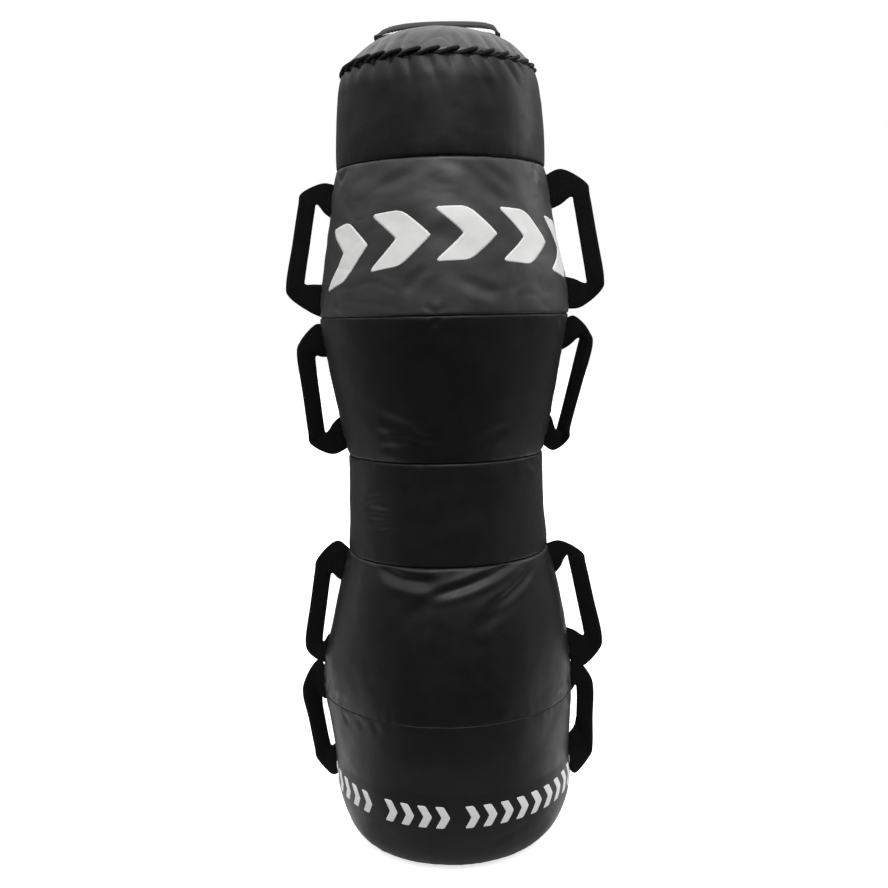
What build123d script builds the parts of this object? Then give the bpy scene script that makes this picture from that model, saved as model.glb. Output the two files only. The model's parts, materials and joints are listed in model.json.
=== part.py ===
"""Free-standing grappling dummy: a stuffed, waisted bag with eight side handles and a laced cap.

Frame: +Z up, origin at the middle of the flat base, front towards -Y, side seams on the X axis.
Units are millimetres. Each physical piece is written to parts/NODE.step.
"""

import os
from math import cos, hypot, radians, sqrt

from build123d import *

# ---------------------------------------------------------------- driving dimensions
CAP_TOP = 1222.0            # crown of the stuffed top cap
CAP_SPHERE = 191.0          # outer radius of the crowned cap
CAP_RIM_RADIUS = 135.5      # edge of the cap, at the lacing

SKIN = 1.5                  # coated fabric of the cover
GAP = 0.3                   # play between one layer and the next
FOAM = 12.0                 # sheet foam behind each cover panel
LINER = 1.0                 # woven liner bag

BASE_SEAM_Z = 6.5           # where the base panel meets the bottom disc
HIP_SEAM_Z = 234.0
LOW_WAIST_SEAM_Z = 453.0
HIGH_WAIST_SEAM_Z = 601.0
SHOULDER_SEAM_Z = 807.0
NECK_SEAM_Z = 1020.0
HEAD_EDGE_Z = 1155.0        # top edge of the head panel, at the lacing
LACING_Z = 1162.0

# The outer outline, as arcs of (radius, height): low end, a point between, high end.
OUTLINE = [
    ((147.0, BASE_SEAM_Z), (170.5, 46.5), (183.0, 130.0)),
    ((183.0, 130.0), (187.3, 182.0), (189.3, HIP_SEAM_Z)),
    ((189.3, HIP_SEAM_Z), (179.5, 344.0), (153.2, LOW_WAIST_SEAM_Z)),
    ((153.2, LOW_WAIST_SEAM_Z), (148.6, 527.0), (148.6, HIGH_WAIST_SEAM_Z)),
    ((148.6, HIGH_WAIST_SEAM_Z), (169.6, 704.0), (186.0, SHOULDER_SEAM_Z)),
    ((186.0, SHOULDER_SEAM_Z), (171.8, 913.0), (155.0, NECK_SEAM_Z)),
    ((155.0, NECK_SEAM_Z), (153.0, 1065.0), (149.0, 1120.0)),
    ((149.0, 1120.0), (146.0, 1142.0), (140.0, LACING_Z)),
]

PANELS = [
    ("base", BASE_SEAM_Z, HIP_SEAM_Z),
    ("hip", HIP_SEAM_Z, LOW_WAIST_SEAM_Z),
    ("waist", LOW_WAIST_SEAM_Z, HIGH_WAIST_SEAM_Z),
    ("chest", HIGH_WAIST_SEAM_Z, SHOULDER_SEAM_Z),
    ("shoulder", SHOULDER_SEAM_Z, NECK_SEAM_Z),
    ("head", NECK_SEAM_Z, HEAD_EDGE_Z),
]

BOTTOM_FLAT_RADIUS = 118.0
BOTTOM_BEND = (131.5, 1.7)  # a point on the curve up to the rim
BOTTOM_RIM = (145.0, 6.0)
BASE_PAD_TOP = 22.0
BASE_PAD_RIM = (143.0, 9.0)
BASE_PAD_TOP_RADIUS = 153.0
HEAD_FOAM_TOP = 1138.0
TOP_PAD_RADIUS = 128.0

LACE_RADIUS = 4.5           # half the height of the wound lace
LACE_RING_RADIUS = 141.0
KNOT_RADIUS = 6.5
FLAP_LOW = (142.6, 1141.0)  # dust flap, a cone under the lacing
FLAP_HIGH = (131.5, 1166.0)
FLAP_THICKNESS = 1.0

NECK_RADIUS = 28.0          # gathered mouth of the liner
NECK_HEIGHT = 24.0
NECK_FOLD = 6.0             # rounding of the gathered mouth
NECK_ROOM = 10.0            # free space round the mouth, in the top pad
DRAWCORD = 2.5

BALLAST_RADIUS = 75.0
BALLAST_HEIGHT = 200.0
BALLAST_ROUNDING = 18.0
BALLAST_START = 60.0
BALLAST_STEP = 202.0

WEBBING = 50.0              # width of the handle webbing, sewn into the side seam
WEB_THICKNESS = 3.0
GRIP_WIDTH = 27.0           # the webbing folded in half along the grip
GRIP_THICKNESS = 7.0
GRIP_ROUNDING = 3.0
GRIP_OVERRUN = 6.0          # how far each end of the grip runs into the sewn end
ROOT_CLEARANCE = 2.0        # between a handle's root and the cover

# Side handles: name, side (+1 is +X), height of the upper and of the lower sewn end,
# (x, z) of the grip's top and bottom, and the turn of the folded grip about its length.
HANDLES = [
    ("left_shoulder", -1, 978.0, 832.0, (200.0, 976.0), (222.0, 853.0), 5.0),
    ("right_shoulder", 1, 985.0, 838.0, (208.0, 979.0), (230.5, 855.0), -10.0),
    ("left_chest", -1, 773.0, 635.0, (209.5, 757.0), (197.5, 634.0), 20.0),
    ("right_chest", 1, 774.0, 634.0, (216.0, 762.0), (181.0, 634.0), -24.0),
    ("left_hip", -1, 424.0, 294.0, (194.5, 414.0), (213.0, 302.0), 50.0),
    ("right_hip", 1, 427.0, 294.0, (201.0, 420.0), (224.0, 304.0), -50.0),
    ("left_base", -1, 234.0, 112.0, (218.0, 224.0), (205.5, 128.0), 50.0),
    ("right_base", 1, 234.0, 114.0, (212.5, 222.0), (209.0, 128.0), -50.0),
]

TOP_STRAP_HALF = 90.0       # from the middle to the outside of each leg of the top handle
TOP_STRAP_CREST = 1235.0
TOP_STRAP_BEND = 8.0        # how far in from the leg the arch begins
TOP_STRAP_SHOULDER = 1224.0
TOP_STRAP_LEG_TOP = 1214.0
TOP_STRAP_FOOT = 1189.0     # below the cap, which cuts it
SEWN_GAP = 0.05             # between the strap's feet and the cap


# ---------------------------------------------------------------- outline
def circle_through(a, b, c):
    """Centre and radius of the circle through three (radius, height) points."""
    (ax, ay), (bx, by), (cx, cy) = a, b, c
    d = 2 * (ax * (by - cy) + bx * (cy - ay) + cx * (ay - by))
    a2, b2, c2 = ax * ax + ay * ay, bx * bx + by * by, cx * cx + cy * cy
    x = (a2 * (by - cy) + b2 * (cy - ay) + c2 * (ay - by)) / d
    y = (a2 * (cx - bx) + b2 * (ax - cx) + c2 * (bx - ax)) / d
    return x, y, hypot(ax - x, ay - y)


def radius(z):
    """Outer radius of the stuffed cover at height z."""
    for low, between, high in OUTLINE:
        if low[1] <= z <= high[1]:
            x, y, r = circle_through(low, between, high)
            reach = sqrt(r * r - (z - y) ** 2)
            return x + reach if between[0] > x else x - reach
    raise ValueError(f"height {z} is outside the cover")


def outline_edges(z0, z1, inset):
    """The cover's outline between two heights, moved inwards by inset, as arcs."""
    edges = []
    for low, _, high in OUTLINE:
        start, end = max(z0, low[1]), min(z1, high[1])
        if end - start > 0.01:
            heights = (start, (start + end) / 2, end)
            edges.append(ThreePointArc(*[(radius(z) - inset, 0, z) for z in heights]))
    return edges


def closed_face(lines):
    """Face inside a closed outline given as lines, arcs and polylines in any order."""
    return Face(Wire([edge for line in lines for edge in line.edges()]))


def revolved(lines, arc=360):
    """Solid made by turning a closed outline in the XZ plane about Z."""
    return revolve(closed_face(lines), axis=Axis.Z, revolution_arc=arc)


def layer(z0, z1, outer, inner, arc=360):
    """A wall that follows the cover between two insets."""
    outside = outline_edges(z0, z1, outer)
    inside = outline_edges(z0, z1, inner)
    low = Line((radius(z0) - inner, 0, z0), (radius(z0) - outer, 0, z0))
    high = Line((radius(z1) - inner, 0, z1), (radius(z1) - outer, 0, z1))
    return revolved([*outside, *inside, low, high], arc)


def filled(z0, z1, inset):
    """Everything inside the cover between two heights, inset from it."""
    low = Line((0, 0, z0), (radius(z0) - inset, 0, z0))
    high = Line((0, 0, z1), (radius(z1) - inset, 0, z1))
    axis = Line((0, 0, z0), (0, 0, z1))
    return revolved([*outline_edges(z0, z1, inset), low, high, axis])


def turned(points):
    """Solid made by turning a closed polygon of (radius, height) points about Z."""
    return revolved([Polyline([(r, 0, z) for r, z in points], close=True)])


# ---------------------------------------------------------------- cover
def cover_panels():
    """Front and back half of each ring of the cover, joined at the side seams."""
    made = {}
    for name, z0, z1 in PANELS:
        back = layer(z0, z1, 0, SKIN, arc=180)
        made[f"{name}_panel_back"] = back
        made[f"{name}_panel_front"] = Rot(Z=180) * back
    return made


def cap_arc(rim, sphere):
    """Arc from the axis out to radius rim, on a sphere about the cap's own centre."""
    centre = CAP_TOP - CAP_SPHERE
    steps = (0, rim / 2, rim)
    return ThreePointArc(*[(r, 0, centre + sqrt(sphere**2 - r**2)) for r in steps])


def top_cap():
    """Crowned disc of cover fabric, laced to the head panel."""
    outside = cap_arc(CAP_RIM_RADIUS, CAP_SPHERE)
    inside = cap_arc(CAP_RIM_RADIUS - SKIN, CAP_SPHERE - SKIN)
    middle = Line(outside @ 0, inside @ 0)
    rim = Line(outside @ 1, inside @ 1)
    return revolved([outside, inside, middle, rim])


def bottom_disc():
    """Flat disc that the dummy stands on, turned up at its rim to the base seam."""
    rim_r, rim_z = BOTTOM_RIM

    def curve(rise):
        points = [(BOTTOM_FLAT_RADIUS, 0), BOTTOM_BEND, BOTTOM_RIM]
        return ThreePointArc(*[(r, 0, z + rise) for r, z in points])

    return revolved(
        [
            Line((0, 0, 0), (BOTTOM_FLAT_RADIUS, 0, 0)),
            curve(0),
            Line((rim_r, 0, rim_z), (rim_r, 0, rim_z + SKIN)),
            curve(SKIN),
            Line((BOTTOM_FLAT_RADIUS, 0, SKIN), (0, 0, SKIN)),
            Line((0, 0, SKIN), (0, 0, 0)),
        ]
    )


def closure():
    """The lace round the cap, its knot at the back, and the dust flap under it."""
    lace = Pos(0, 0, LACING_Z) * Torus(LACE_RING_RADIUS, LACE_RADIUS)
    knot_y = LACE_RING_RADIUS + LACE_RADIUS + KNOT_RADIUS + GAP
    knot = Pos(0, knot_y, LACING_Z) * Sphere(KNOT_RADIUS)
    inner = [(r - FLAP_THICKNESS, z) for r, z in (FLAP_HIGH, FLAP_LOW)]
    flap = turned([FLAP_LOW, FLAP_HIGH, *inner])
    return {"closure_lace": lace, "lace_knot": knot, "dust_flap": flap}


# ---------------------------------------------------------------- inside
def foam():
    """A ring of sheet foam behind each panel, and a pad at each end."""
    made = {}
    inset = SKIN + GAP
    for name, z0, z1 in PANELS:
        low = max(z0, BASE_PAD_TOP) + GAP
        high = min(z1, HEAD_FOAM_TOP) - GAP
        made[f"{name}_foam"] = layer(low, high, inset, inset + FOAM)
    floor = SKIN + GAP
    flat = BOTTOM_FLAT_RADIUS - GAP
    rim = (BASE_PAD_TOP_RADIUS, BASE_PAD_TOP)
    made["base_foam_pad"] = turned([(0, floor), (flat, floor), BASE_PAD_RIM, rim, (0, BASE_PAD_TOP)])
    made["top_foam_pad"] = top_foam_pad()
    return made


def top_foam_pad():
    """Crowned pad under the cap, hollowed for the gathered mouth of the liner."""
    low = HEAD_FOAM_TOP + LINER + GAP
    crown = cap_arc(TOP_PAD_RADIUS, CAP_SPHERE - SKIN - GAP)
    top, rim = crown @ 0, crown @ 1
    corner, middle = (TOP_PAD_RADIUS, 0, low), (0, 0, low)
    pad = revolved([crown, Line(rim, corner), Line(corner, middle), Line(middle, top)])
    return pad - Pos(0, 0, low) * Cylinder(NECK_RADIUS + NECK_ROOM, 2 * (NECK_HEIGHT + GAP))


def liner_and_drawcord():
    """Woven bag that holds the filling, with its mouth gathered by a cord."""
    inset = SKIN + GAP + FOAM + GAP
    low, high = BASE_PAD_TOP + GAP, HEAD_FOAM_TOP
    bag = filled(low, high, inset)
    hollow = filled(low + LINER, high - LINER, inset + LINER)
    neck = Pos(0, 0, high + NECK_HEIGHT / 2) * Cylinder(NECK_RADIUS, NECK_HEIGHT)
    neck = fillet(neck.edges().group_by(Axis.Z)[-1], NECK_FOLD)
    cord_z = high + NECK_HEIGHT / 2
    groove = Pos(0, 0, cord_z) * Torus(NECK_RADIUS, DRAWCORD + GAP)
    cord = Pos(0, 0, cord_z) * Torus(NECK_RADIUS, DRAWCORD)
    return {"liner_bag": bag - hollow + neck - groove, "liner_drawcord": cord}


def filling_and_ballast():
    """Packed textile cuttings round a stack of sealed ballast bags."""
    inset = SKIN + GAP + FOAM + GAP + LINER + GAP
    low = BASE_PAD_TOP + GAP + LINER + GAP
    filling = filled(low, HEAD_FOAM_TOP - LINER - GAP, inset)
    made = {}
    for number, name in enumerate(["lower", "upper"]):
        middle = BALLAST_START + number * BALLAST_STEP + BALLAST_HEIGHT / 2
        bag = Pos(0, 0, middle) * Cylinder(BALLAST_RADIUS, BALLAST_HEIGHT)
        rims = bag.edges().filter_by(GeomType.CIRCLE)
        made[f"ballast_bag_{name}"] = fillet(rims, BALLAST_ROUNDING)
        room = Cylinder(BALLAST_RADIUS + GAP, BALLAST_HEIGHT + 2 * GAP)
        filling -= Pos(0, 0, middle) * room
    made["textile_filling"] = filling
    return made


# ---------------------------------------------------------------- handles
def root_line(z_top, z_bottom):
    """The straight line, clear of the cover, that a side handle turns about."""
    low, high = z_bottom - WEBBING / 2, z_top + WEBBING / 2
    slope = (radius(z_top) - radius(z_bottom)) / (z_top - z_bottom)

    def chord(z):
        return radius(z_bottom) + slope * (z - z_bottom)

    steps = [low + (high - low) * k / 40 for k in range(41)]
    stand = max(radius(z) - chord(z) for z in steps) + ROOT_CLEARANCE + WEB_THICKNESS / 2
    return lambda z: chord(z) + stand


def sewn_end(root, seam_z, reach, grip_end, along, half):
    """Flat end of a handle: from its sewn line out to the folded grip.

    reach is half the webbing's width, signed towards the outside of the handle.
    """
    up = 1 if reach > 0 else -1
    out = (along[1], -along[0])

    def beside(outwards, upwards):
        x = grip_end[0] + half * (outwards * out[0] + up * upwards * along[0])
        z = grip_end[1] + half * (outwards * out[1] + up * upwards * along[1])
        return (x, 0, z)

    far, near = seam_z + reach, seam_z - reach
    corners = [(root(far), 0, far), beside(0.9, 0.7), beside(-0.95, -0.4), (root(near), 0, near)]
    face = make_face(Polyline(corners, close=True))
    return extrude(face, WEB_THICKNESS / 2, dir=(0, 1, 0), both=True)


def root_bead(root, seam_z):
    """Rounded edge of a sewn end, centred on the line that the handle turns about."""
    low, high = seam_z - WEBBING / 2, seam_z + WEBBING / 2
    start, finish = Vector(root(low), 0, low), Vector(root(high), 0, high)
    length = (finish - start).length
    return Plane(origin=start, z_dir=finish - start) * extrude(Circle(WEB_THICKNESS / 2), length)


def side_handle(z_top, z_bottom, grip_top, grip_bottom, twist):
    """Webbing loop on the +X side: two flat sewn ends and a folded grip between them."""
    root = root_line(z_top, z_bottom)
    rise = (grip_top[0] - grip_bottom[0], grip_top[1] - grip_bottom[1])
    length = hypot(*rise)
    along = (rise[0] / length, rise[1] / length)
    half = GRIP_WIDTH / 2 * cos(radians(twist))

    bar = Box(GRIP_WIDTH, GRIP_THICKNESS, length + 2 * GRIP_OVERRUN)
    bar = fillet(bar.edges().filter_by(Axis.Z), GRIP_ROUNDING)
    middle = ((grip_top[0] + grip_bottom[0]) / 2, 0, (grip_top[1] + grip_bottom[1]) / 2)
    across, axis = (along[1], 0, -along[0]), (along[0], 0, along[1])
    solid = Plane(origin=middle, x_dir=across, z_dir=axis) * (Rot(Z=twist) * bar)
    for seam_z, reach, grip_end in (
        (z_top, WEBBING / 2, grip_top),
        (z_bottom, -WEBBING / 2, grip_bottom),
    ):
        solid += sewn_end(root, seam_z, reach, grip_end, along, half)
        solid += root_bead(root, seam_z)
    return solid


def side_handles():
    made = {}
    for name, side, z_top, z_bottom, grip_top, grip_bottom, twist in HANDLES:
        handle = side_handle(z_top, z_bottom, grip_top, grip_bottom, twist * side)
        made[f"handle_{name}"] = handle if side > 0 else mirror(handle, about=Plane.YZ)
    return made


def top_handle():
    """Flat webbing bridge over the cap, sewn down at both legs."""
    half, t = TOP_STRAP_HALF, WEB_THICKNESS
    knee = half - TOP_STRAP_BEND
    outer = [(knee, TOP_STRAP_SHOULDER), (half, TOP_STRAP_LEG_TOP), (half, TOP_STRAP_FOOT)]
    inner = [
        (knee - 1, TOP_STRAP_SHOULDER - t),
        (half - t, TOP_STRAP_LEG_TOP - 1),
        (half - t, TOP_STRAP_FOOT),
    ]
    lines = []
    for points, crest in ((outer, TOP_STRAP_CREST), (inner, TOP_STRAP_CREST - t)):
        start = points[0]
        lines.append(ThreePointArc((-start[0], 0, start[1]), (0, 0, crest), (start[0], 0, start[1])))
    for side in (1, -1):
        outside = [(side * x, 0, z) for x, z in outer]
        inside = [(side * x, 0, z) for x, z in inner]
        lines += [Polyline(outside), Polyline(inside), Line(outside[-1], inside[-1])]
    strap = extrude(closed_face(lines), WEBBING / 2, dir=(0, 1, 0), both=True)
    return strap - Pos(0, 0, CAP_TOP - CAP_SPHERE) * Sphere(CAP_SPHERE + SEWN_GAP)


# ---------------------------------------------------------------- write
def main():
    parts = {
        **cover_panels(),
        "top_cap": top_cap(),
        "bottom_disc": bottom_disc(),
        **closure(),
        **foam(),
        **liner_and_drawcord(),
        **filling_and_ballast(),
        **side_handles(),
        "top_handle": top_handle(),
    }
    os.makedirs("parts", exist_ok=True)
    for name, shape in parts.items():
        export_step(shape, f"parts/{name}.step")


main()
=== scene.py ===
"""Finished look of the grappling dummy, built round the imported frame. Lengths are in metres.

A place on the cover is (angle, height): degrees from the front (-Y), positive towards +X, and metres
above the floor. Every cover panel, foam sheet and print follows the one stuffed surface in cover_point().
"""

import json
from math import ceil, cos, degrees, hypot, pi, radians, sin

import bpy
import numpy as np
from mathutils import Matrix, Vector, noise


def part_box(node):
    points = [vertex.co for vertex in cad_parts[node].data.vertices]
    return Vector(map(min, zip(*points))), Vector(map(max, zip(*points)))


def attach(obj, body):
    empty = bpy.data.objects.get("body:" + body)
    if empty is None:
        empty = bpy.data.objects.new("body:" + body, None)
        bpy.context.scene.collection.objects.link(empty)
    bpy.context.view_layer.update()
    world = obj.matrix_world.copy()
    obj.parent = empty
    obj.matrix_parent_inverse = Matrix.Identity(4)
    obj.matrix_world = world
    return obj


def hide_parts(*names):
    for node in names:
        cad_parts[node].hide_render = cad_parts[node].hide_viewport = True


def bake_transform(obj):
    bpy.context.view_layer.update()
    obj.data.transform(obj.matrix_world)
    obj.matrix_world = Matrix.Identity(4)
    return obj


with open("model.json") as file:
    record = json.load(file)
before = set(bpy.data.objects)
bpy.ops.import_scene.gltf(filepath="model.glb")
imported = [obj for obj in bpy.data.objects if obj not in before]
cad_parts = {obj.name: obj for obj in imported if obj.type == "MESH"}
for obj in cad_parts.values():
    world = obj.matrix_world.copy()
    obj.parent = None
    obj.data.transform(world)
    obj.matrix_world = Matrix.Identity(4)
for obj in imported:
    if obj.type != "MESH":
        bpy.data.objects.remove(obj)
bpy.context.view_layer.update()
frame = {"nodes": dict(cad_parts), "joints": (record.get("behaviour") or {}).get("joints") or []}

# ---------------- driving dimensions
SKIN = 0.0015               # coated fabric of the cover
FOAM = 0.009
FOAM_BEHIND = 0.0030        # from the face of the cover to the foam
SEAM_TURN = 0.0036          # how far a panel turns in at a sewn seam
SIDE_TURN = 0.0030          # the same at the side seams
EDGE_TURN = 0.0020          # and at the head ring's free edge
SEAM_DIP, SEAM_DIP_REACH = 0.0011, 0.010    # soft hollow along a seam
PUCKER, PUCKER_REACH = 0.0011, 0.011
SIDE_DIP, SIDE_PUCKER, SIDE_REACH = 0.0012, 0.0007, 0.012
COLUMN_STEP, ROW_STEP = 1.05, 0.0031        # mesh of the cover, in degrees and metres
FOLD_FADE = 0.006           # folds fade out this near a seam
PLAIN_SOFTNESS = 0.0009     # height of the soft unevenness, where SOFTNESS says nothing else
SOFTNESS = {"base": 0.0008, "shoulder": 0.0015, "head": 0.0006}

# The stuffed outline, as arcs of (radius, height): low end, a point between, high end.
OUTLINE = [
    ((0.1470, 0.0065), (0.1705, 0.0465), (0.1830, 0.1300)),
    ((0.1830, 0.1300), (0.1873, 0.1820), (0.1893, 0.2340)),
    ((0.1893, 0.2340), (0.1795, 0.3440), (0.1532, 0.4530)),
    ((0.1532, 0.4530), (0.1486, 0.5270), (0.1486, 0.6010)),
    ((0.1486, 0.6010), (0.1696, 0.7040), (0.1860, 0.8070)),
    ((0.1860, 0.8070), (0.1718, 0.9130), (0.1550, 1.0200)),
    ((0.1550, 1.0200), (0.1530, 1.0650), (0.1490, 1.1200)),
    ((0.1490, 1.1200), (0.1460, 1.1420), (0.1400, 1.1620)),
]
RINGS = ["base", "hip", "waist", "chest", "shoulder", "head"]
HEAD_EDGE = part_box("head_panel_front")[1][2]
FLUSH_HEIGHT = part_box("base_panel_front")[1][2]     # this seam lies flatter than the others
FLUSH_SEAM = 0.45

CAP_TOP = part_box("top_cap")[1][2]
CAP_SPHERE = 0.191
CAP_RIM = 0.1365
CAP_FULLNESS = (0.102, 0.027, 0.0034)       # where the cap stands off its sphere: radius, reach, rise
NECK_HOLLOW = 0.0380        # radius of the hollow under the top pad
FLAP_THICK = 0.0009

# Lacing: one stitch goes out of the head panel, up over the joint and in through the cap.
STITCHES = 32
STITCH_ANGLE = 360 / STITCHES
LOWER_HOLE = (0.1392, 1.1542)       # radius, height
UPPER_HOLE = (0.1335, 1.1648)
LACE_RADIUS = 0.0030
HEAD_GATHER_RING, CAP_GATHER_RING = 0.14, 0.13      # radii at which the gathers are told apart

WEBBING = 0.050
WEB_HALF_THICK = 0.0016
WEB_POINTS = 28             # round one section of webbing
WEB_GIRTH = np.linspace(0, 1, WEB_POINTS + 1) * 2 * WEBBING
GRIP_HALF_WIDTH = 0.0135
GRIP_HALF_THICK = 0.0038
GRIP_GROOVE = 0.0030        # depth of the slit where the grip is folded in two
GRIP_ROWS, STRAP_ROWS = 132, 190
SEWN_DEPTH = 0.0040         # how far a grip's ends run into the side seam
STITCH_LENGTH, STITCH_SPACE, THREAD_RADIUS = 0.0034, 0.0012, 0.0003

# Side grips: name, side, heights of the two sewn ends, (x, z) of the grip's top and bottom, its twist in
# degrees, top and bottom of the finger gap, rise of the upper corner and sag of the lower one, sway in Y.
HANDLES = [
    ("left_shoulder", -1, 0.978, 0.832, (0.2, 0.976), (0.2225, 0.853),
     5, 0.975, 0.859, 0.003, -0.011, 0.002),
    ("right_shoulder", 1, 0.985, 0.838, (0.2095, 0.981), (0.23, 0.855),
     -10, 0.978, 0.852, 0.009, -0.003, -0.003),
    ("left_chest", -1, 0.773, 0.635, (0.2098, 0.758), (0.1974, 0.633),
     22, 0.749, 0.634, -0.001, 0.011, -0.002),
    ("right_chest", 1, 0.774, 0.634, (0.216, 0.763), (0.1822, 0.633),
     -52, 0.768, 0.631, 0.003, 0.011, 0.003),
    ("left_hip", -1, 0.424, 0.294, (0.1958, 0.417), (0.2142, 0.301),
     16, 0.41, 0.302, 0.013, -0.001, 0.004),
    ("right_hip", 1, 0.427, 0.294, (0.2012, 0.421), (0.2255, 0.3),
     -16, 0.434, 0.305, 0.004, 0.016, -0.004),
    ("left_base", -1, 0.234, 0.112, (0.2214, 0.226), (0.2064, 0.126),
     26, 0.208, 0.131, 0.013, 0.004, 0.003),
    ("right_base", 1, 0.234, 0.114, (0.212, 0.224), (0.2098, 0.125),
     -18, 0.222, 0.157, 0.006, 0.012, -0.003),
]

# Folds set one by one: angle, height, length, width, depth, tilt in degrees, bow (rise = bow *
# distance**2).
FOLDS = [
    (-23, 0.4360, 0.120, 0.0080, 0.0041, -8, 2.4),
    (17, 0.4350, 0.185, 0.0057, 0.0032, 17, 0.6),
    (36, 0.4165, 0.125, 0.0056, 0.0020, 25, 0.5),
    (-14, 0.3980, 0.060, 0.0090, 0.0009, 30),
    (24, 0.3900, 0.110, 0.0100, 0.0016, 28),
    (-46, 0.5470, 0.050, 0.0058, 0.0011, 14),
    (-42, 0.5290, 0.070, 0.0052, 0.0017, -2),
    (-41, 0.5155, 0.062, 0.0046, 0.0014, 3),
    (-36, 0.5020, 0.046, 0.0044, 0.0010, 10),
    (-23, 0.6580, 0.080, 0.0075, 0.0021, -16),
    (-15, 0.6400, 0.085, 0.0070, 0.0021, -8),
    (-25, 0.6240, 0.075, 0.0058, 0.0017, 6),
    (-31, 0.6440, 0.045, 0.0060, 0.0013, 12),
    (26, 0.6420, 0.060, 0.0070, 0.0012, 14),
    (13, 1.0010, 0.095, 0.0085, 0.0010, -24),
    (20, 0.9780, 0.110, 0.0095, 0.0011, -28),
    (28, 0.9960, 0.080, 0.0080, 0.0009, -35),
    (-22, 0.9900, 0.080, 0.0080, 0.0010, 18),
    (-12, 0.8560, 0.060, 0.0065, 0.0011, 50, -6.0),
    (16, 0.8430, 0.075, 0.0080, 0.0011, -20, 3.0),
    (34, 0.8550, 0.070, 0.0070, 0.0012, 70),
    (-5, 0.8140, 0.024, 0.0046, 0.0010, -55),
    (-1, 0.8140, 0.018, 0.0042, 0.0007, 50),
    (-3, 0.7990, 0.020, 0.0050, 0.0014, 75),
    (-45, 0.2255, 0.042, 0.0062, 0.0009, -48),
    (-35, 0.2220, 0.030, 0.0055, 0.0006, -66),
    (-57, 0.2430, 0.034, 0.0060, 0.0009, 40),
    (24, 0.0540, 0.045, 0.0065, 0.0008, 12),
    (34, 0.0640, 0.030, 0.0055, 0.0007, -20),
]
# The stuffing stands out here and there: angle, height, reach in degrees, reach in height, rise.
LUMPS = [
    (92, 0.850, 40, 0.060, 0.0060),
    (-90, 0.258, 34, 0.066, 0.0105),
    (76, 0.058, 38, 0.045, 0.0060),
    (90, 1.080, 45, 0.060, 0.0020),
    (90, 0.470, 40, 0.030, 0.0015),
    (-95, 0.560, 40, 0.060, 0.0015),
]
LOW_LUMP = (0.020, 0.026, 0.0044)           # the bag settles on its base: height, reach, rise
# Angles of the printed arrowheads: five large ones, and small ones in three groups.
BIG_ROW = [11.2 + 31.0 * k for k in (-2, -1, 0, 1, 2)]
SMALL_STEP = 8.2
SMALL_ROW = [-35.5 - SMALL_STEP * k for k in range(1, 6)]
SMALL_ROW += [-29.5 + SMALL_STEP * k for k in range(4)]
SMALL_ROW += [8.5 + SMALL_STEP * k for k in range(10)]

LOOSE_FOLDS = 90            # small creases beside the seams of the sides and back

rng = np.random.default_rng(48)


# ---------------- the stuffed surface
def circle_through(a, b, c):
    """Centre and radius of the circle through three points."""
    (ax, ay), (bx, by), (cx, cy) = a, b, c
    d = 2 * (ax * (by - cy) + bx * (cy - ay) + cx * (ay - by))
    a2, b2, c2 = ax * ax + ay * ay, bx * bx + by * by, cx * cx + cy * cy
    x = (a2 * (by - cy) + b2 * (cy - ay) + c2 * (ay - by)) / d
    y = (a2 * (cx - bx) + b2 * (ax - cx) + c2 * (bx - ax)) / d
    return x, y, hypot(ax - x, ay - y)


def lumps(angle, height):
    """Unevenness of the stuffing: the outline stands out a few millimetres at LUMPS and low down."""
    low, reach, rise = LOW_LUMP
    out = rise * np.exp(-(((height - low) / reach) ** 2))
    for at_angle, at_height, wide, tall, rise in LUMPS:
        turn = degrees_between(angle, at_angle) / wide
        out = out + rise * np.exp(-(turn**2) - ((height - at_height) / tall) ** 2)
    return out


def cover_radius(height):
    """Radius of the smooth stuffed outline at an array of heights."""
    z = np.clip(np.asarray(height, float), OUTLINE[0][0][1], OUTLINE[-1][2][1])
    radius = np.zeros_like(z)
    for low, between, high in OUTLINE:
        x, y, size = circle_through(low, between, high)
        reach = np.sqrt(np.maximum(size**2 - (z - y) ** 2, 0))
        here = (z >= low[1]) & (z <= high[1])
        radius = np.where(here, x + reach if between[0] > x else x - reach, radius)
    return radius


def cap_height(radius):
    """Height of the crowned cap at an array of radii, a little fuller near its edge than a sphere."""
    at, reach, rise = CAP_FULLNESS
    full = rise * np.exp(-(((np.asarray(radius) - at) / reach) ** 2))
    return CAP_TOP - CAP_SPHERE + np.sqrt(CAP_SPHERE**2 - np.asarray(radius) ** 2) + full


def rough(points, size, seed):
    """Smooth noise from about -1 to 1, with features of the given size, at an array of points."""
    shift = Vector((seed * 7.3, seed * -3.1, seed * 5.7))
    flat = np.asarray(points, float).reshape(-1, 3) / size
    values = [noise.noise(Vector(p) + shift) for p in flat]
    return np.array(values).reshape(np.shape(points)[:-1])


def smooth_step(x):
    x = np.clip(x, 0, 1)
    return x * x * (3 - 2 * x)


def mixed(a, b, t):
    return a + (b - a) * t


def turned_in(distance, size):
    """Depth of an edge that rounds in to a seam: size at the seam, zero at that distance from it."""
    near = np.clip(1 - distance / size, 0, 1)
    return size * (1 - np.sqrt(1 - near**2))


def degrees_between(angle, at):
    return (angle - at + 180) % 360 - 180


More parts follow.
